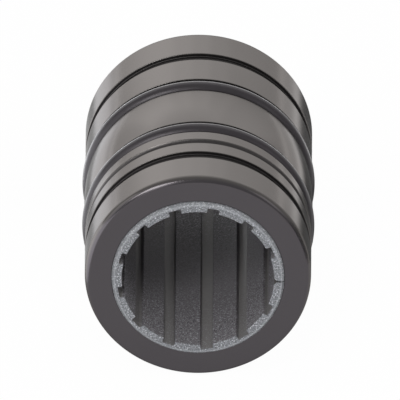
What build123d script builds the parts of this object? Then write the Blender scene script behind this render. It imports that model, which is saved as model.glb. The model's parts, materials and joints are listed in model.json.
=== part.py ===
from build123d import *
from math import cos, radians, sin
import os

# Closed self-aligning linear plain bearing for a round shaft.
# A turned aluminium sleeve carries a slotted plastic liner that slides on the shaft.
# Two O-rings round the sleeve hold it in its housing bore, where a crown between them
# lets it tilt a little.
#
# Millimetres. The bore axis is Y, the front end faces -Y, X is to the right and Z is up.
# The origin is on the bore axis, half way between the two ends.
# Angles run anticlockwise from +X, as seen from the front.

# Shaft and running surface
shaft_diameter = 50.0
running_clearance = 0.05

# Adapter sleeve, 75 mm across its crown
sleeve_length = 97.4
sleeve_wall = 9.55
crown_arc_radius = 100.0
land_relief = 0.3
end_rounding = 2.2
groove_edge_break = 0.2
bore_edge_break = 0.1

# Grooves for the retaining rings that hold the bearing in its housing
retaining_groove_width = 4.0
retaining_groove_depth = 1.2
retaining_groove_from_end = 14.1

# Round-bottomed groove that marks the front end
front_groove_width = 2.8
front_groove_depth = 1.0
front_groove_from_end = 25.0

# O-rings and their grooves
ring_section = 5.33
ring_standout = 0.65
ring_spacing = 28.0
ring_side_gap = 0.935
ring_seat_gap = 0.02

# Slotted liner
pad_count = 13
slot_depth = 1.65
slot_width = 4.0
slot_floor_fillet = 0.3
pad_edge_break = 0.25
wall_under_slots = 1.2
split_angle = -2.5
split_pad_spacing = 21.0
split_width = 0.5
split_mouth = 0.9
liner_standout = 1.3
liner_clearance = 0.05
collar_height = 0.5
collar_seat_depth = 3.0
collar_bevel = 0.8
bore_lead_in = 0.3

# Boss that keeps the liner from turning, opposite its split
boss_diameter = 6.0
boss_height = 1.2
boss_clearance = 0.1

# Liner radii, from the shaft outwards
pad_radius = shaft_diameter / 2 + running_clearance
slot_floor_radius = pad_radius + slot_depth
liner_radius = slot_floor_radius + wall_under_slots
collar_radius = liner_radius + collar_height
boss_tip_radius = liner_radius + boss_height

# Sleeve and O-ring radii, from the liner outwards
sleeve_bore_radius = liner_radius + liner_clearance
collar_seat_radius = collar_radius + liner_clearance
crown_radius = sleeve_bore_radius + sleeve_wall
land_radius = crown_radius - land_relief
ring_centre_radius = crown_radius + ring_standout - ring_section / 2
ring_groove_floor = ring_centre_radius - ring_section / 2 - ring_seat_gap
retaining_groove_floor = land_radius - retaining_groove_depth

# Places along the bore axis, as distances from the middle
sleeve_end = sleeve_length / 2
collar_seat = sleeve_end - collar_seat_depth
liner_end = sleeve_end + liner_standout
collar_length = liner_end - collar_seat - liner_clearance
retaining_groove_edge = sleeve_end - retaining_groove_from_end
retaining_groove_middle = retaining_groove_edge - retaining_groove_width / 2
front_groove_middle = sleeve_end - front_groove_from_end
ring_middle = ring_spacing / 2
ring_groove_width = ring_section + 2 * ring_side_gap

# Places round the liner
boss_angle = split_angle + 180
pad_pitch = (360 - split_pad_spacing) / (pad_count - 1)
first_slot_angle = split_angle + (split_pad_spacing + pad_pitch) / 2
slot_count = pad_count - 1

both_ends = (-1, 1)
boss_direction = (cos(radians(boss_angle)), 0, sin(radians(boss_angle)))
boss_plane = Plane(origin=(0, 0, 0), x_dir=(0, 1, 0), z_dir=boss_direction)


def end_rims(part):
    """The outer edges of a part's two end faces."""
    faces = part.faces().filter_by(GeomType.PLANE).sort_by(Axis.Y)
    return [faces[end].outer_wire().edge() for end in (0, -1)]


# Adapter sleeve. Its outline has a plain land at each end and a crown between the
# O-rings. The crown's arc ends at the middle of each O-ring's groove.
crown_drop = crown_arc_radius - (crown_arc_radius**2 - ring_middle**2) ** 0.5
crown_end_radius = crown_radius - crown_drop

with BuildPart() as adapter_sleeve:
    with BuildSketch(Plane.XY):
        with BuildLine():
            Polyline(
                (crown_end_radius, ring_middle),
                (land_radius, ring_middle),
                (land_radius, sleeve_end),
                (collar_seat_radius, sleeve_end),
                (collar_seat_radius, collar_seat),
                (sleeve_bore_radius, collar_seat),
                (sleeve_bore_radius, -collar_seat),
                (collar_seat_radius, -collar_seat),
                (collar_seat_radius, -sleeve_end),
                (land_radius, -sleeve_end),
                (land_radius, -ring_middle),
                (crown_end_radius, -ring_middle),
            )
            ThreePointArc(
                (crown_end_radius, -ring_middle),
                (crown_radius, 0),
                (crown_end_radius, ring_middle),
            )
        make_face()
    revolve(axis=Axis.Y)

    end_faces = adapter_sleeve.faces().filter_by(GeomType.PLANE).sort_by(Axis.Y)
    bore_mouths = [end_faces[end].inner_wires()[0].edge() for end in (0, -1)]
    fillet(end_rims(adapter_sleeve), radius=end_rounding)
    chamfer(bore_mouths, length=bore_edge_break)

    # Square grooves for the retaining rings and the O-rings, alike at both ends
    with BuildSketch(Plane.XY):
        for end in both_ends:
            with Locations((retaining_groove_floor, end * retaining_groove_middle)):
                Rectangle(crown_radius, retaining_groove_width, align=(Align.MIN, Align.CENTER))
            with Locations((ring_groove_floor, end * ring_middle)):
                Rectangle(crown_radius, ring_groove_width, align=(Align.MIN, Align.CENTER))
    revolve(axis=Axis.Y, mode=Mode.SUBTRACT)

    # Every groove wall ends in a broken edge, on the lands and on the crown.
    walls = adapter_sleeve.faces().filter_by(GeomType.PLANE)
    walls = walls.filter_by_position(Axis.Y, -retaining_groove_edge, retaining_groove_edge)
    chamfer([wall.outer_wire().edge() for wall in walls], length=groove_edge_break)

    # Front groove, turned with a round-nosed tool
    nose_radius = (front_groove_width**2 / 4 + front_groove_depth**2) / (2 * front_groove_depth)
    with BuildSketch(Plane.XY):
        with Locations((land_radius - front_groove_depth + nose_radius, -front_groove_middle)):
            Circle(nose_radius)
    revolve(axis=Axis.Y, mode=Mode.SUBTRACT)

    # Blind pocket in the bore for the liner's boss
    with BuildSketch(boss_plane):
        Circle(boss_diameter / 2 + boss_clearance)
    extrude(amount=boss_tip_radius + boss_clearance, mode=Mode.SUBTRACT)

# Outline of one slot between two pads, drawn on +X: a flat floor with rounded corners
# and a broken edge on the pad at each side of its mouth.
with BuildSketch() as slot_outline:
    with BuildLine():
        Polyline(
            (slot_floor_radius, slot_width / 2),
            (pad_radius + pad_edge_break, slot_width / 2),
            (pad_radius - pad_edge_break, slot_width / 2 + 2 * pad_edge_break),
            (pad_radius - pad_edge_break, -slot_width / 2 - 2 * pad_edge_break),
            (pad_radius + pad_edge_break, -slot_width / 2),
            (slot_floor_radius, -slot_width / 2),
            close=True,
        )
    make_face()
    fillet(slot_outline.vertices().group_by(Axis.X)[-1], radius=slot_floor_fillet)

# Outline of the split, also on +X: a narrow gap through the wall that opens into a
# bevelled mouth between its two pads.
with BuildSketch() as split_outline:
    with BuildLine():
        Polyline(
            (boss_tip_radius, split_width / 2),
            (pad_radius + split_mouth, split_width / 2),
            (pad_radius - split_mouth, split_width / 2 + 2 * split_mouth),
            (pad_radius - split_mouth, -split_width / 2 - 2 * split_mouth),
            (pad_radius + split_mouth, -split_width / 2),
            (boss_tip_radius, -split_width / 2),
            close=True,
        )
    make_face()

# Liner: a thin split tube with pads along its bore. A collar at each end sits in the
# sleeve's counterbore and holds the liner lengthways.
with BuildPart() as bearing_liner:
    with BuildSketch(Plane.XZ):
        Circle(liner_radius)
        Circle(pad_radius, mode=Mode.SUBTRACT)
        with PolarLocations(
            0, slot_count, first_slot_angle, pad_pitch * (slot_count - 1), endpoint=True
        ):
            add(slot_outline.sketch, mode=Mode.SUBTRACT)
    extrude(amount=liner_end, both=True)

    for end in both_ends:
        with BuildSketch(Plane.XZ.offset(end * liner_end)):
            Circle(collar_radius)
            Circle(slot_floor_radius + wall_under_slots / 2, mode=Mode.SUBTRACT)
        extrude(amount=-end * collar_length)
    chamfer(end_rims(bearing_liner), length=collar_bevel)

    # Lead-in at both ends of the pads
    with BuildSketch(Plane.XY):
        for end in both_ends:
            with BuildLine():
                Polyline(
                    (pad_radius + bore_lead_in, end * liner_end),
                    (pad_radius - bore_lead_in, end * liner_end),
                    (pad_radius - bore_lead_in, end * (liner_end - 2 * bore_lead_in)),
                    close=True,
                )
            make_face()
    revolve(axis=Axis.Y, mode=Mode.SUBTRACT)

    # Boss on the outside, in the sleeve's pocket
    with BuildSketch(boss_plane.offset(slot_floor_radius)):
        Circle(boss_diameter / 2)
    extrude(amount=boss_tip_radius - slot_floor_radius)

    with BuildSketch(Plane.XZ):
        with PolarLocations(0, 1, split_angle):
            add(split_outline.sketch)
    extrude(amount=liner_end, both=True, mode=Mode.SUBTRACT)


def o_ring(middle):
    """An O-ring of round section, at a distance along the bore axis."""
    with BuildPart() as ring:
        with BuildSketch(Plane.XY):
            with Locations((ring_centre_radius, middle)):
                Circle(ring_section / 2)
        revolve(axis=Axis.Y)
    return ring


front_o_ring = o_ring(-ring_middle)
rear_o_ring = o_ring(ring_middle)

adapter_sleeve.part.label = "adapter_sleeve"
bearing_liner.part.label = "bearing_liner"
front_o_ring.part.label = "front_o_ring"
rear_o_ring.part.label = "rear_o_ring"

os.makedirs("parts", exist_ok=True)
export_step(adapter_sleeve.part, "parts/adapter_sleeve.step")
export_step(bearing_liner.part, "parts/bearing_liner.step")
export_step(front_o_ring.part, "parts/front_o_ring.step")
export_step(rear_o_ring.part, "parts/rear_o_ring.step")
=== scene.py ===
import json
from math import asin, atan2, cos, pi, radians, sin, sqrt, tan

import bmesh
import bpy
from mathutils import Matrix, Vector


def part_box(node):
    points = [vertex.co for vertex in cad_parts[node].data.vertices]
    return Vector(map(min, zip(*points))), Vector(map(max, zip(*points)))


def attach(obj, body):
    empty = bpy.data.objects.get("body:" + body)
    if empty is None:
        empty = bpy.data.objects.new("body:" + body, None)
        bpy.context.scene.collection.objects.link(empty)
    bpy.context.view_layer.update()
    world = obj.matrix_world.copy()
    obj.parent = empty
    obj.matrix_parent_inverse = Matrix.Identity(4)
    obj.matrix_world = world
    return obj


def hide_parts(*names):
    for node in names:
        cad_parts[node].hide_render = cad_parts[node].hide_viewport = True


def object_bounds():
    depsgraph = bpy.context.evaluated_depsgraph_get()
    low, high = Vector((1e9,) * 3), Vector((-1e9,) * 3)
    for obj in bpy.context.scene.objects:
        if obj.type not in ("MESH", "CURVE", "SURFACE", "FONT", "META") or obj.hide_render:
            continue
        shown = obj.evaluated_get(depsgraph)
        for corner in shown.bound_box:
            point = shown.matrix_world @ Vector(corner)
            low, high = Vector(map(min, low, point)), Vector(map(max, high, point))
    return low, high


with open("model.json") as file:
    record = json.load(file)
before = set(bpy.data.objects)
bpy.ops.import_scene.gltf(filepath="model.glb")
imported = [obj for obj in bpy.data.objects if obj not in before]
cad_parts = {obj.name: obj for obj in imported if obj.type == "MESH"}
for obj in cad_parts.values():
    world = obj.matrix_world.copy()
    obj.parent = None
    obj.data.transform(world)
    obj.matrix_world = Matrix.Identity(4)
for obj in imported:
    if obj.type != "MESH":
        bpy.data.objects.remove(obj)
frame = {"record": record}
cad_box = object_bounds()

MM = 0.001

# Sizes that the frame gives
mounts = {mount["name"]: mount for mount in frame["record"]["mounts"]}


def mount_size(name, size):
    return mounts[name]["dims"][size] * MM


def mount_place(name):
    """A mount's place along the bore axis."""
    return mounts[name]["pos_m"][1]


crown_radius = mount_size("housing_seat", "r_mm")
land_radius = mount_size("front_land", "r_mm")
sleeve_end = mount_place("rear_face")
retaining_groove_floor = mount_size("rear_retaining_groove", "r_mm")
retaining_groove_width = mount_size("rear_retaining_groove", "length_mm")
retaining_groove_middle = mount_place("rear_retaining_groove")
pad_radius = mount_size("shaft_bore", "r_mm")

ring_low, ring_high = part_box("rear_o_ring")
ring_section = ring_high.y - ring_low.y
ring_middle = (ring_high.y + ring_low.y) / 2
ring_centre_radius = ring_high.z - ring_section / 2

liner_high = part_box("bearing_liner")[1]
liner_end = liner_high.y
collar_radius = liner_high.z

# Adapter sleeve
end_rounding = 2.2 * MM
edge_rounding = 0.22 * MM
floor_rounding = 0.25 * MM
crown_arc_radius = 100 * MM
ring_side_gap = 0.935 * MM
ring_seat_gap = 0.02 * MM
front_groove_width = 2.8 * MM
front_groove_depth = 1.0 * MM
front_groove_from_end = 25.0 * MM
collar_seat_depth = 3.0 * MM
liner_clearance = 0.05 * MM
bore_edge_break = 0.1 * MM

# O-rings, with the low ridge that the mould leaves round the outside and the inside
flash_width = 0.35 * MM
flash_height = 0.05 * MM

# Slotted liner
pad_count = 13
split_angle = radians(-2.5)
split_pad_spacing = radians(21)
slot_depth = 1.65 * MM
slot_width = 4.0 * MM
wall_under_slots = 1.2 * MM
pad_edge_rounding = 0.3 * MM
slot_floor_fillet = 0.3 * MM
mouth_rounding = 0.22 * MM
collar_bevel = 0.8 * MM
split_width = 0.5 * MM
split_mouth = 0.9 * MM

# Divisions of the meshes
steps_around = 240
rim_steps = 16
edge_steps = 5
crown_steps = 14
nose_steps = 10
ring_steps = 96
pad_steps = 7

# Joining and shading of the meshes
edge_lead = 0.04 * MM
weld_distance = 0.001 * MM
sharp_angle = radians(32)

# Sizes that follow
ring_groove_floor = ring_centre_radius - ring_section / 2 - ring_seat_gap
ring_groove_width = ring_section + 2 * ring_side_gap
ring_groove_edge = ring_middle - ring_groove_width / 2
front_groove_middle = front_groove_from_end - sleeve_end
slot_floor_radius = pad_radius + slot_depth
liner_radius = slot_floor_radius + wall_under_slots
collar_seat = sleeve_end - collar_seat_depth
collar_length = liner_end - collar_seat - liner_clearance
slot_count = pad_count - 1
pad_pitch = (2 * pi - split_pad_spacing) / slot_count
first_slot_angle = split_angle + (split_pad_spacing + pad_pitch) / 2


# Node trees
class Signal:
    """One output of a node. Sums, products and the like add Math nodes to its tree."""

    def __init__(self, tree, socket):
        self.tree = tree
        self.socket = socket

    def math(self, operation, *values):
        return self.tree.node("ShaderNodeMath", {"operation": operation}, values)

    def __add__(self, other):
        return self.math("ADD", self, other)

    def __radd__(self, other):
        return self.math("ADD", other, self)

    def __sub__(self, other):
        return self.math("SUBTRACT", self, other)

    def __rsub__(self, other):
        return self.math("SUBTRACT", other, self)

    def __mul__(self, other):
        return self.math("MULTIPLY", self, other)

    def __rmul__(self, other):
        return self.math("MULTIPLY", other, self)

    def __truediv__(self, other):
        return self.math("DIVIDE", self, other)

    def __floordiv__(self, other):
        quotient = self / other
        return self.math("FLOOR", quotient)

    def __mod__(self, other):
        return self.math("MODULO", self, other)

    def __pow__(self, other):
        return self.math("POWER", self, other)

    def __abs__(self):
        return self.math("ABSOLUTE", self)

    def most(self, other):
        return self.math("MAXIMUM", self, other)


class Tree:
    """A node tree that is written as calls. Each call adds a node and gives one output."""

    def __init__(self, tree):
        self.tree = tree

    def node(self, kind, settings=None, values=(), output=0):
        """Adds a node: its settings first, then its sockets' values or links, which are in
        order, or in a dictionary by name or place."""
        node = self.tree.nodes.new(kind)
        for name, setting in (settings or {}).items():
            setattr(node, name, setting)
        pairs = values.items() if isinstance(values, dict) else enumerate(values)
        for key, value in pairs:
            self.feed(node.inputs[key], value)
        return Signal(self, node.outputs[output]) if node.outputs else node

    def feed(self, socket, value):
        if isinstance(value, Signal):
            self.tree.links.new(value.socket, socket)
        elif isinstance(value, list):
            for one in value:
                self.feed(socket, one)
        else:
            socket.default_value = value

    def mix(self, factor, first, second):
        """A colour between two others. The Mix node has several sockets of each name, so
        those for colours are given by place."""
        return self.node("ShaderNodeMix", {"data_type": "RGBA"}, {0: factor, 6: first, 7: second}, 2)

    def rise(self, value, low, high):
        """0 below low, 1 above high and smooth between them."""
        return self.node("ShaderNodeMapRange", {"interpolation_type": "SMOOTHSTEP"}, (value, low, high))

    def split(self, place):
        """A place's three coordinates."""
        parts = self.node("ShaderNodeSeparateXYZ", None, (place,)).socket.node.outputs
        return [Signal(self, part) for part in parts]

    def noise(self, place, scale, detail=2.0, roughness=0.5):
        """A cloudy pattern about 0.5. Its scale is how many patches there are to a metre."""
        values = {"Vector": place, "Scale": scale, "Detail": detail, "Roughness": roughness}
        return self.node("ShaderNodeTexNoise", None, values)

    def stretched(self, place, scale):
        """A place with each axis scaled."""
        return self.node("ShaderNodeMapping", None, {"Vector": place, "Scale": scale})


# Outlines of turned pieces. Each is a closed list of points, as radius and place along the
# bore axis, in order round the section.
def corner(x, y, rounding=0.0):
    """A corner of an outline, with the radius of its rounding."""
    return Vector((x, y)), rounding


def arc_corners(centre, radius, start, end, steps):
    """Unrounded corners along an arc, both ends included."""
    angles = [start + (end - start) * step / steps for step in range(steps + 1)]
    return [corner(centre[0] + radius * cos(a), centre[1] + radius * sin(a)) for a in angles]


def turned_by(vector, angle):
    return Vector((
        vector.x * cos(angle) - vector.y * sin(angle),
        vector.x * sin(angle) + vector.y * cos(angle),
    ))


def rounded(corners):
    """The points of a closed outline, with an arc at each corner that has a rounding. A
    point just outside each end of the arc keeps the flats beside it flat when shaded."""
    points = []
    for index, (point, rounding) in enumerate(corners):
        if not rounding:
            points.append(point)
            continue
        back = (corners[index - 1][0] - point).normalized()
        ahead = (corners[(index + 1) % len(corners)][0] - point).normalized()
        half = back.angle(ahead) / 2
        reach = rounding / tan(half)
        centre = point + (back + ahead).normalized() * (rounding / sin(half))
        start = point + back * reach - centre
        turn = -start.angle_signed(point + ahead * reach - centre)
        steps = rim_steps if rounding == end_rounding else edge_steps
        points.append(point + back * (reach + edge_lead))
        points += [centre + turned_by(start, turn * step / steps) for step in range(steps + 1)]
        points.append(point + ahead * (reach + edge_lead))
    return points


def crown(place):
    """The crown's radius at a place along the bore axis."""
    return crown_radius - crown_arc_radius + sqrt(crown_arc_radius**2 - place**2)


def retaining_groove(side):
    """A square groove, on side -1, the front, or 1, the rear."""
    middle = side * retaining_groove_middle
    front, rear = middle - retaining_groove_width / 2, middle + retaining_groove_width / 2
    return [
        corner(land_radius, front, edge_rounding),
        corner(retaining_groove_floor, front, floor_rounding),
        corner(retaining_groove_floor, rear, floor_rounding),
        corner(land_radius, rear, edge_rounding),
    ]


def ring_groove(side):
    """An O-ring's groove, listed from the crown outwards and reversed at the front."""
    outer = side * (ring_middle + ring_groove_width / 2)
    inner = side * ring_groove_edge
    corners = [
        corner(crown(inner), inner, edge_rounding),
        corner(ring_groove_floor, inner, floor_rounding),
        corner(ring_groove_floor, outer, floor_rounding),
        corner(land_radius, outer, edge_rounding),
    ]
    return corners[::side]


def front_groove():
    """The round-bottomed groove near the front end, with both its edges rounded."""
    nose_radius = (front_groove_width**2 / 4 + front_groove_depth**2) / (2 * front_groove_depth)
    centre = (land_radius - front_groove_depth + nose_radius, front_groove_middle)
    half = asin(front_groove_width / 2 / nose_radius)
    corners = arc_corners(centre, nose_radius, pi + half, pi - half, nose_steps)
    for end in (0, -1):
        corners[end] = (corners[end][0], edge_rounding / 2)
    return corners


def sleeve_end_corners():
    """The rear end, from the rounded rim to the shoulder of the collar's seat."""
    seat_radius = collar_radius + liner_clearance
    bore_radius = liner_radius + liner_clearance
    return [
        corner(land_radius, sleeve_end, end_rounding),
        corner(seat_radius + bore_edge_break, sleeve_end),
        corner(seat_radius, sleeve_end - bore_edge_break),
        corner(seat_radius, collar_seat, floor_rounding),
        corner(bore_radius, collar_seat, edge_rounding),
    ]


def sleeve_outline():
    """The sleeve's outline: the outside from front to rear, then back through the bore."""
    crown_half = asin(ring_groove_edge / crown_arc_radius)
    crown_centre = (crown_radius - crown_arc_radius, 0)
    rear_end = sleeve_end_corners()
    front_end = [corner(point.x, -point.y, rounding) for point, rounding in reversed(rear_end)]
    return rounded([
        *retaining_groove(-1),
        *front_groove(),
        *ring_groove(-1),
        *arc_corners(crown_centre, crown_arc_radius, -crown_half, crown_half, crown_steps)[1:-1],
        *ring_groove(1),
        *retaining_groove(1),
        *rear_end,
        *front_end,
    ])


def ring_outline(middle):
    """An O-ring's round section with its two mould ridges."""
    points = []
    for step in range(ring_steps):
        angle = 2 * pi * step / ring_steps
        across = sin(angle) * ring_section / 2 / flash_width
        ridge = flash_height * max(0, 1 - across**2) ** 2
        reach = ring_section / 2 - flash_height + ridge
        points.append(Vector((ring_centre_radius + reach * cos(angle), middle + reach * sin(angle))))
    return points


# Geometry Nodes
def geometry_tree(name, sizes):
    """A tree with a geometry input, named inputs for sizes, and a material input."""
    group = bpy.data.node_groups.new(name, "GeometryNodeTree")
    sockets = {"Geometry": "NodeSocketGeometry", **sizes, "Material": "NodeSocketMaterial"}
    for socket, kind in sockets.items():
        group.interface.new_socket(socket, in_out="INPUT", socket_type=kind)
    group.interface.new_socket("Geometry", in_out="OUTPUT", socket_type="NodeSocketGeometry")
    tree = Tree(group)
    entry = group.nodes.new("NodeGroupInput")
    return tree, {socket: Signal(tree, entry.outputs[socket]) for socket in sockets}


def close_tree(tree, geometry, material):
    """Ends a tree: copies made real and welded, steep edges sharp, and the material set."""
    real = tree.node("GeometryNodeRealizeInstances", None, (geometry,))
    welded = tree.node("GeometryNodeMergeByDistance", None, {"Geometry": real, "Distance": weld_distance})
    shading = {"Geometry": welded, "Shade Smooth": True}
    smooth = tree.node("GeometryNodeSetShadeSmooth", {"domain": "FACE"}, shading)
    edge_angle = tree.node("GeometryNodeInputMeshEdgeAngle")
    steep = tree.node("FunctionNodeCompare", {"operation": "GREATER_THAN"}, (edge_angle, sharp_angle))
    creasing = {"Geometry": smooth, "Selection": steep, "Shade Smooth": False}
    edged = tree.node("GeometryNodeSetShadeSmooth", {"domain": "EDGE"}, creasing)
    painted = tree.node("GeometryNodeSetMaterial", None, {"Geometry": edged, "Material": material})
    tree.node("NodeGroupOutput", None, (painted,))
    return tree.tree


def turned_tree():
    """Turns an outline once round the bore axis. The outline is a mesh of points, in order."""
    tree, inputs = geometry_tree("turned_piece", {"Steps Around": "NodeSocketInt"})
    outline = inputs["Geometry"]
    count = tree.node("GeometryNodeAttributeDomainSize", None, (outline,))
    rows = count + 1
    columns = inputs["Steps Around"] + 1
    grid = tree.node("GeometryNodeMeshGrid", None, {"Vertices X": columns, "Vertices Y": rows})
    index = tree.node("GeometryNodeInputIndex")
    column = index // rows
    row = (index - column * rows) % count
    position = tree.node("GeometryNodeInputPosition")
    sample = {"Geometry": outline, "Value": position, "Index": row}
    point = tree.node("GeometryNodeSampleIndex", {"data_type": "FLOAT_VECTOR"}, sample)
    turn = {"Vector": point, "Angle": column * (2 * pi) / inputs["Steps Around"]}
    turned = tree.node("ShaderNodeVectorRotate", {"rotation_type": "Y_AXIS"}, turn)
    placed = tree.node("GeometryNodeSetPosition", None, {"Geometry": grid, "Position": turned})
    return close_tree(tree, placed, inputs["Material"])


def slotted_tree():
    """Repeats one slot's sector round the bore axis and adds the sector of the split."""
    tree, inputs = geometry_tree("slotted_liner", {
        "Slots": "NodeSocketInt",
        "First Slot Angle": "NodeSocketFloat",
        "Pitch": "NodeSocketFloat",
        "Split Sector": "NodeSocketObject",
    })
    points = tree.node("GeometryNodePoints", None, {"Count": inputs["Slots"]})
    index = tree.node("GeometryNodeInputIndex")
    angle = inputs["First Slot Angle"] + index * inputs["Pitch"]
    turn = tree.node("FunctionNodeEulerToRotation", None, (
        tree.node("ShaderNodeCombineXYZ", None, {"Y": 0 - angle}),
    ))
    placing = {"Points": points, "Instance": inputs["Geometry"], "Rotation": turn}
    slots = tree.node("GeometryNodeInstanceOnPoints", None, placing)
    split = tree.node("GeometryNodeObjectInfo", None, {"Object": inputs["Split Sector"]}, "Geometry")
    joined = tree.node("GeometryNodeJoinGeometry", None, ([slots, split],))
    return close_tree(tree, joined, inputs["Material"])


def grow(piece, group, inputs):
    """Runs a tree on a piece and keeps the result as its plain mesh, facing outwards."""
    modifier = piece.modifiers.new(group.name, "NODES")
    modifier.node_group = group
    for socket in group.interface.items_tree:
        if socket.in_out == "INPUT" and socket.name in inputs:
            modifier[socket.identifier] = inputs[socket.name]
    depsgraph = bpy.context.evaluated_depsgraph_get()
    evaluated = piece.evaluated_get(depsgraph)
    grown = bpy.data.meshes.new_from_object(evaluated, preserve_all_data_layers=True, depsgraph=depsgraph)
    piece.modifiers.clear()
    piece.data = grown
    grown.materials.clear()
    grown.materials.append(inputs["Material"])
    work = bmesh.new()
    work.from_mesh(grown)
    for face in work.faces:
        face.material_index = 0
    bmesh.ops.recalc_face_normals(work, faces=work.faces)
    work.to_mesh(grown)
    work.free()
    return piece


def new_piece(name, points, faces=()):
    mesh = bpy.data.meshes.new(name)
    mesh.from_pydata(points, [], faces)
    piece = bpy.data.objects.new(name, mesh)
    bpy.context.scene.collection.objects.link(piece)
    return piece


def turned_piece(name, outline, group, material):
    piece = new_piece(name, [(point.x, point.y, 0) for point in outline])
    return grow(piece, group, {"Steps Around": steps_around, "Material": material})


# Sectors of the liner. Each column of a sector is an inner point in the XZ plane, the angle
# of its outer point and its reach, the share of the way from the one to the other at which
# the inner surface lies.
def direction(angle):
    return Vector((cos(angle), sin(angle)))


def pad_arc(start, end, steps):
    """Points on the pad surface, both ends included."""
    return [pad_radius * direction(start + (end - start) * step / steps) for step in range(steps + 1)]


def open_outline(corners):
    """The points of an outline that isn't closed. Its first and last corner only aim it."""
    return rounded(corners)[1:-1]


def slot_columns():
    """One slot, centred on +X, from the middle of a pad to the middle of the next."""
    half = slot_width / 2
    mouth = sqrt(pad_radius**2 - half**2)
    floor = sqrt(slot_floor_radius**2 - half**2)
    edge_angle = asin(half / pad_radius)
    pad_end = edge_angle + 2 * pad_edge_rounding / pad_radius
    before = pad_radius * direction(-pad_end)
    after = pad_radius * direction(pad_end)
    slot = open_outline([
        (before, 0.0),
        corner(mouth, -half, pad_edge_rounding),
        corner(floor, -half, slot_floor_fillet),
        corner(floor, half, slot_floor_fillet),
        corner(mouth, half, pad_edge_rounding),
        (after, 0.0),
    ])
    points = [
        *pad_arc(-pad_pitch / 2, -pad_end, pad_steps),
        *slot,
        *pad_arc(pad_end, pad_pitch / 2, pad_steps),
    ]
    return [(point, atan2(point.y, point.x), 0.0) for point in points]


def split_columns(side):
    """The wall on one side of the split, from the middle of its pad to the split's face."""
    half = split_width / 2
    bevel_end = pad_radius + split_mouth
    pad_edge = half + split_mouth
    pad_end = (pad_edge + 2 * pad_edge_rounding) / pad_radius
    bevel = open_outline([
        (pad_radius * direction(pad_end), 0.0),
        corner(pad_radius, pad_edge, pad_edge_rounding),
        corner(bevel_end, half),
        corner(liner_radius, half),
    ])
    points = [*pad_arc(split_pad_spacing / 2, pad_end, pad_steps), *bevel]
    columns = [(point, atan2(point.y, point.x), 0.0) for point in points]
    face_angle = half / liner_radius
    face_reaches = (0.04, 0.5, 1.0)
    columns += [(points[-1], face_angle, reach) for reach in face_reaches]
    turned = [
        (turned_by(Vector((p.x, side * p.y)), split_angle), side * a + split_angle, reach)
        for p, a, reach in columns
    ]
    return turned[::-side]


def stations():
    """Places along the liner, each with the outer radius and with how far the inner
    surface stands back from its outline, which rounds the edges of the mouth."""
    shares_of_rounding = [0, 0.08, 0.25, 0.5, 0.75, 1.0]
    shares_of_bevel = [0.5, 0.9, 1.0, 1.1, 1.6]
    bevel_softness = 0.1 * MM
    depths = [share * mouth_rounding for share in shares_of_rounding]
    depths += [share * collar_bevel for share in shares_of_bevel]
    rows = []
    for depth in depths:
        bevel_left = collar_bevel - depth
        outer = collar_radius - (bevel_left + sqrt(bevel_left**2 + bevel_softness**2)) / 2
        rounding_left = max(0, mouth_rounding - depth)
        back = mouth_rounding - sqrt(mouth_rounding**2 - rounding_left**2)
        rows.append((depth - liner_end, outer, back))
    rows += [(collar_length - liner_end, radius, 0) for radius in (collar_radius, liner_radius)]
    rear_rows = [(-place, outer, back) for place, outer, back in reversed(rows)]
    return [*rows, (0, liner_radius, 0), *rear_rows]


def sector(name, columns):
    """A stretch of the liner's wall: a ring of points for each column. Where the mouth is
    rounded, the inner surface stands back at right angles to its outline."""
    rows = stations()
    points = []
    last = len(columns) - 1
    for index, (point, angle, reach) in enumerate(columns):
        along = columns[min(index + 1, last)][0] - columns[max(index - 1, 0)][0]
        into_wall = direction(angle) if index in (0, last) else Vector((along.y, -along.x)).normalized()
        inner = [point + into_wall * back for place, outer, back in rows]
        outside = [outer * direction(angle) for place, outer, back in rows]
        inside = [here.lerp(there, reach) for here, there in zip(inner, outside)]
        points += [(spot.x, row[0], spot.y) for spot, row in zip(inside, rows)]
        points += [(spot.x, row[0], spot.y) for spot, row in zip(outside[::-1], rows[::-1])]
    ring = 2 * len(rows)
    faces = []
    for column in range(len(columns) - 1):
        for row in range(ring):
            here, there = column * ring, (column + 1) * ring
            following = (row + 1) % ring
            faces.append((here + row, here + following, there + following, there + row))
    return new_piece(name, points, faces)


def slotted_liner(material):
    """The liner: one slot's sector, which its tree repeats, and the split's two sectors."""
    slot = sector("bearing_liner_shell", slot_columns())
    split = sector("split_sector", split_columns(-1))
    other = sector("other_split_sector", split_columns(1))
    pair = bmesh.new()
    pair.from_mesh(split.data)
    pair.from_mesh(other.data)
    pair.to_mesh(split.data)
    pair.free()
    bpy.data.objects.remove(other)
    grow(slot, slotted_tree(), {
        "Slots": slot_count,
        "First Slot Angle": first_slot_angle,
        "Pitch": pad_pitch,
        "Split Sector": split,
        "Material": material,
    })
    bpy.data.objects.remove(split)
    return slot


# Finishes
def bare_material(name):
    """A material and its empty tree."""
    material = bpy.data.materials.new(name)
    material.use_nodes = True
    material.node_tree.nodes.clear()
    return material, Tree(material.node_tree)


def finish(name, paint):
    """A material. paint gives the values of the shader's sockets."""
    material, tree = bare_material(name)
    place = tree.node("ShaderNodeTexCoord", None, (), "Object")
    shader = tree.node("ShaderNodeBsdfPrincipled", None, paint(tree, place))
    tree.node("ShaderNodeOutputMaterial", None, (shader,))
    return material


def bump(tree, height, depth):
    """A normal from a height that runs from 0 to 1."""
    return tree.node("ShaderNodeBump", None, {"Strength": 1.0, "Distance": depth, "Height": height})


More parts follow.
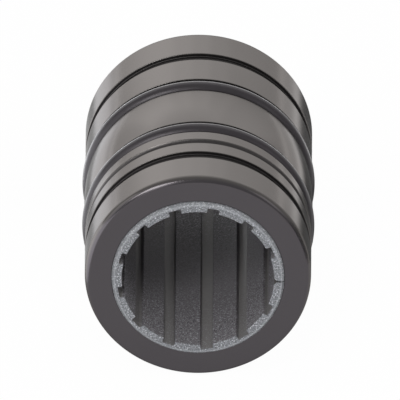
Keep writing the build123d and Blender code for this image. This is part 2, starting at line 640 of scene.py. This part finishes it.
def anodised_aluminium(tree, place):
    """Dark hard-anodised aluminium, satin, with faint marks from turning. The end faces are darker, a
    painted shade for their facing the front, and the groove surfaces are duller and darkest, a painted
    shade for the recesses."""
    x, y, z = tree.split(place)
    radius = (x**2 + z**2) ** 0.5
    along = abs(y)
    cloud = tree.noise(place, 38.0, detail=3.0, roughness=0.55)
    marks = tree.noise(tree.stretched(place, (40.0, 5200.0, 40.0)), 1.0, detail=3.0, roughness=0.6)
    grain = tree.noise(place, 5200.0, detail=2.0, roughness=0.6)
    outside = tree.mix(cloud, (0.140, 0.131, 0.126, 1), (0.154, 0.144, 0.139, 1))
    # Painted shade: the grooves are coloured darker, as the shade that falls in a recess.
    groove_shade = (0.070, 0.066, 0.066, 1)
    # Painted shade: the end faces are coloured darker, as the shade of faces turned to the front.
    ends = tree.mix(cloud, (0.084, 0.077, 0.083, 1), (0.092, 0.085, 0.091, 1))
    at_end = tree.rise(along, sleeve_end - 1.2 * MM, sleeve_end - 0.2 * MM)
    clear_of_end = 1 - tree.rise(along, sleeve_end - 4 * MM, sleeve_end - 3 * MM)
    off_crown = tree.rise(along, ring_groove_edge - edge_rounding, ring_groove_edge)
    in_groove = tree.rise(land_radius - radius, 0.05 * MM, 0.4 * MM) * clear_of_end * off_crown
    return {
        "Base Color": tree.mix(at_end, tree.mix(in_groove, outside, groove_shade), ends),
        "Metallic": 1.0,
        "Roughness": 0.16 + 0.04 * cloud + 0.03 * grain + 0.26 * in_groove,
        "Specular Tint": (0.45, 0.45, 0.45, 1),
        "Normal": bump(tree, 0.7 * marks + 0.3 * grain, 0.0006 * MM),
    }


def liner_plastic(tree, place):
    """Grey filled plastic. The cut end faces show light and dark grains, with a bright line at their
    bevel's edge, a painted highlight. The pads are darker, a painted shade for the inside of the bore, and
    their light grains fade further in, more painted shade. The moulded slot floors are brownish and
    plainer."""
    cut_grain = (0.72, 0.74, 0.78, 1)
    # Painted highlight: a bright line where the cut end face meets the collar's bevel.
    bore_grain = (0.42, 0.426, 0.444, 1)
    painted_edge_highlight = (0.31, 0.32, 0.34, 1)
    split_shade = (0.09, 0.086, 0.082, 1)
    bevel_foot = collar_radius - collar_bevel

    x, y, z = tree.split(place)
    radius = (x**2 + z**2) ** 0.5
    depth = liner_end - abs(y)
    across_split = z * cos(split_angle) - x * sin(split_angle)
    grains = tree.noise(place, 1900.0, detail=2.0, roughness=0.75)
    patches = tree.noise(place, 700.0, detail=3.0, roughness=0.6)
    light = tree.rise(grains, 0.54, 0.66)
    dark = tree.rise(1 - grains, 0.55, 0.67)
    # Painted shade: deeper into the bore the light grains of the pads and slot floors fade, so the bore
    # darkens inwards.
    far = tree.rise(depth, 10 * MM, 45 * MM)

    face = tree.mix(patches, (0.18, 0.186, 0.200, 1), (0.25, 0.257, 0.275, 1))
    face = tree.mix(light, face, cut_grain)
    face = tree.mix(dark, face, (0.07, 0.073, 0.078, 1))
    # Painted shade: the pads are coloured darker than the cut faces, for the inside of the bore.
    pads = tree.mix(patches, (0.140, 0.132, 0.142, 1), (0.187, 0.176, 0.190, 1))
    pads = tree.mix(light * (1 - 0.8 * far), pads, bore_grain)
    pads = tree.mix(dark * (1 - 0.6 * far), pads, (0.05, 0.051, 0.054, 1))
    floors = tree.mix(patches, (0.155, 0.149, 0.148, 1), (0.197, 0.189, 0.188, 1))
    floors = tree.mix(0.4 * light * (1 - far), floors, bore_grain)
    off_line = tree.rise(radius, bevel_foot, bevel_foot + 0.4 * MM)
    bevel = tree.mix(patches, (0.165, 0.170, 0.180, 1), (0.235, 0.242, 0.256, 1))
    bevel = tree.mix(off_line, painted_edge_highlight, bevel)
    bevel = tree.mix(0.75 * light, bevel, cut_grain)

    inside = tree.rise(depth, 0.1 * MM, 0.4 * MM)
    on_floor = tree.rise(radius, pad_radius + 0.5 * MM, pad_radius + 0.9 * MM)
    by_split = tree.rise(split_mouth + 0.3 * MM - abs(across_split), 0, 0.2 * MM)
    in_split = by_split * tree.rise(x, 0, 1 * MM) * tree.rise(depth, 0.05 * MM, 0.15 * MM)
    on_bevel = tree.rise(radius, bevel_foot - 0.5 * MM, bevel_foot - 0.2 * MM)
    moulded = on_floor * inside
    colour = tree.mix(inside, face, tree.mix(on_floor, pads, floors))
    colour = tree.mix(in_split, colour, split_shade)
    return {
        "Base Color": tree.mix(on_bevel, colour, bevel),
        "Roughness": 0.62 + 0.1 * patches - 0.12 * moulded,
        "Specular IOR Level": 0.12,
        "Normal": bump(tree, grains * (1 - 0.8 * moulded), 0.03 * MM),
    }


def ring_rubber(tree, place):
    """Black rubber, a little shiny, with a faint bloom."""
    bloom = tree.noise(place, 160.0, detail=4.0, roughness=0.6)
    grain = tree.noise(place, 3500.0, detail=2.0, roughness=0.5)
    return {
        "Base Color": tree.mix(bloom, (0.014, 0.012, 0.014, 1), (0.024, 0.021, 0.024, 1)),
        "Roughness": 0.28 + 0.10 * bloom,
        "Specular IOR Level": 0.52,
        "Specular Tint": (1, 0.95, 0.99, 1),
        "Normal": bump(tree, grain, 0.004 * MM),
    }


# Floor, lights and camera
def ray(tree, kind):
    """1 for rays of one kind, and 0 for the others."""
    return tree.node("ShaderNodeLightPath", None, (), f"Is {kind} Ray")


def floor_finish():
    """A white floor. To the camera most of it is a steady white and the rest its light and
    shadow. A gloss shows more of its light and shadow."""
    steady_to_camera = 0.98
    steady_to_gloss = 0.6
    material, tree = bare_material("floor_white")
    in_gloss = ray(tree, "Glossy").most(ray(tree, "Transmission"))
    steady = (steady_to_camera * ray(tree, "Camera")).most(steady_to_gloss * in_gloss)
    paper = tree.node("ShaderNodeBsdfDiffuse", None, {"Color": (0.86, 0.86, 0.86, 1)})
    white = tree.node("ShaderNodeEmission", None, {"Strength": 1.0})
    mixed = tree.node("ShaderNodeMixShader", None, (steady, paper, white))
    tree.node("ShaderNodeOutputMaterial", None, (mixed,))
    return material


def lay_floor():
    half = 3.0
    level = cad_box[0].z
    corners = [(-half, -half, level), (half, -half, level), (half, half, level), (-half, half, level)]
    floor = new_piece("floor", corners, [(0, 1, 2, 3)])
    floor.data.materials.append(floor_finish())


def light_room(brightness):
    """An even room. The camera sees only the floor."""
    world = bpy.data.worlds.new("studio")
    bpy.context.scene.world = world
    world.use_nodes = True
    world.node_tree.nodes.clear()
    tree = Tree(world.node_tree)
    room = tree.node("ShaderNodeBackground", None, {"Color": (1, 1, 1, 1), "Strength": brightness})
    tree.node("ShaderNodeOutputWorld", None, (room,))


def aim(thing, place, target):
    thing.location = place
    thing.rotation_mode = "QUATERNION"
    thing.rotation_quaternion = (Vector(target) - Vector(place)).to_track_quat("-Z", "Y")


def soft_light(name, place, size, brightness, target=(0, 0, 0), diffuse=True, gloss=True, tint=(1, 1, 1)):
    """A rectangular lamp that faces its target. Its brightness is what a mirror shows."""
    lamp = bpy.data.lights.new(name, "AREA")
    lamp.shape = "RECTANGLE"
    lamp.size, lamp.size_y = size
    lamp.energy = brightness * pi * size[0] * size[1]
    lamp.color = tint
    light = bpy.data.objects.new(name, lamp)
    bpy.context.scene.collection.objects.link(light)
    light.visible_camera = False
    light.visible_diffuse = diffuse
    light.visible_glossy = gloss
    aim(light, place, target)


def side_reflector(name, across, front, heights, brightness, tint=(1, 1, 1)):
    """A long lamp beside the object, which only a gloss shows. It stands at the given
    distance across from the bore axis and faces it."""
    rear = 0.31
    bottom, top = heights
    place = (across, (front + rear) / 2, (bottom + top) / 2)
    size = (rear - front, top - bottom)
    soft_light(name, place, size, brightness, (0, place[1], place[2]), diffuse=False, tint=tint)


def back_reflectors(panels):
    """Panels far behind the object, each a little behind the last, which only a gloss
    shows. Together they make a graded screen. Each gives its left edge, right edge, top
    and brightness."""
    bottom = -0.03
    nearest = 1.0
    apart = 0.01
    for index, (left, right, top, brightness) in enumerate(panels):
        place = ((left + right) / 2, nearest + apart * index, (bottom + top) / 2)
        size = (right - left, top - bottom)
        soft_light(f"back_panel_{index}", place, size, brightness, (place[0], 0, place[2]), diffuse=False)


def set_card(name, corners, tone, diffuse=False, gloss=False):
    """A card beside or behind the object, which only the chosen light meets."""
    card = new_piece(name, corners, [range(len(corners))])
    card.data.materials.append(finish(name, lambda tree, place: {"Base Color": (tone, tone, tone, 1)}))
    card.visible_camera = False
    card.visible_diffuse = diffuse
    card.visible_glossy = gloss
    card.visible_shadow = False


def set_cards():
    """Cards at the right, lying and standing, which darken the side of the sleeve and its
    rim, and one behind, which keeps light out of the bore."""
    low = cad_box[0].z + 0.4 * MM
    left, right, front, rear = 0.042, 0.10, 0.02, 0.32
    corners = [(left, front, low), (right, front, low), (right, rear, low), (left, rear, low)]
    set_card("lying_card", corners, 0.08, gloss=True)
    across, front, rear, top = 0.15, -0.16, -0.01, 0.035
    corners = [(across, front, low), (across, rear, low), (across, rear, top), (across, front, top)]
    set_card("standing_card", corners, 0.4, gloss=True)
    half, behind, top = 0.1, 0.08, 0.08
    corners = [(-half, behind, low), (half, behind, low), (half, behind, top), (-half, behind, top)]
    set_card("rear_card", corners, 0.1, diffuse=True)


def set_camera():
    """A distant view from the front and above. The origin falls on the pixel given here."""
    image_side = 400
    origin_pixel = (198.45, 203.85)
    pixels_per_mm = 3.044
    elevation = radians(29.5)
    azimuth = radians(0.2)
    distance = 1.0
    camera_data = bpy.data.cameras.new("camera")
    camera_data.type = "ORTHO"
    camera_data.ortho_scale = image_side / pixels_per_mm * MM
    camera = bpy.data.objects.new("camera", camera_data)
    bpy.context.scene.collection.objects.link(camera)
    bpy.context.scene.camera = camera
    back = Vector((sin(azimuth) * cos(elevation), -cos(azimuth) * cos(elevation), sin(elevation)))
    right = Vector((cos(azimuth), sin(azimuth), 0))
    up = back.cross(right)
    across = (image_side / 2 - origin_pixel[0]) / pixels_per_mm * MM
    above = (origin_pixel[1] - image_side / 2) / pixels_per_mm * MM
    target = right * across + up * above
    aim(camera, target + back * distance, target)


# The bearing
aluminium = finish("anodised_aluminium", anodised_aluminium)
plastic = finish("liner_plastic", liner_plastic)
rubber = finish("ring_rubber", ring_rubber)

turning = turned_tree()
sleeve = turned_piece("turned_sleeve", sleeve_outline(), turning, aluminium)
liner = slotted_liner(plastic)
front_ring = turned_piece("front_ring", ring_outline(-ring_middle), turning, rubber)
rear_ring = turned_piece("rear_ring", ring_outline(ring_middle), turning, rubber)

for piece, node, slot in (
    (sleeve, "adapter_sleeve", "anodised_aluminium"),
    (liner, "bearing_liner", "liner_plastic"),
    (front_ring, "front_o_ring", "ring_rubber"),
    (rear_ring, "rear_o_ring", "ring_rubber"),
):
    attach(piece, "root")
    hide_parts(node)

# The studio. Each lamp gives its place, size and brightness.
lay_floor()
light_room(brightness=0.5)
set_cards()
back_reflectors([
    (-1.7, 1.7, 3.0, 0.5),
    (-1.7, 0.80, 1.0, 0.47),
    (-1.7, 0.29, 0.90, 0.15),
    (-0.67, 0.11, 0.73, 0.2),
    (-0.60, -0.07, 0.67, 0.2),
    (-0.60, -0.25, 0.58, 0.25),
])
cool_white = (0.94, 0.96, 1.0)
side_reflector("left_screen", -0.092, front=-0.15, heights=(-0.038, 0.026), brightness=1.4, tint=cool_white)
side_reflector("left_strip", -0.088, front=0.05, heights=(-0.038, 0.011), brightness=1.7, tint=cool_white)
side_reflector("right_screen", 0.092, front=0.06, heights=(-0.021, 0.026), brightness=1.0)
side_reflector("right_strip", 0.088, front=0.06, heights=(-0.021, -0.004), brightness=1.35)
soft_light("overhead", (0, 0, 0.9), (1.2, 1.2), 0.8, gloss=False)
soft_light("front_top", (-0.2, -0.74, 0.70), (0.3, 0.3), 12.0, gloss=False)
soft_light("key", (-0.44, -0.72, 0.54), (0.4, 0.4), 5.0, diffuse=False)
soft_light("key_foot", (-0.29, -0.92, 0.25), (0.2, 0.4), 1.3, diffuse=False)
soft_light("front_left", (-0.43, -0.17, 0.19), (0.34, 0.34), 0.6, diffuse=False)
soft_light("front_right", (0.36, -0.27, 0.22), (0.2, 0.2), 0.6, diffuse=False)
set_camera()
bpy.context.scene.view_settings.view_transform = "Standard"
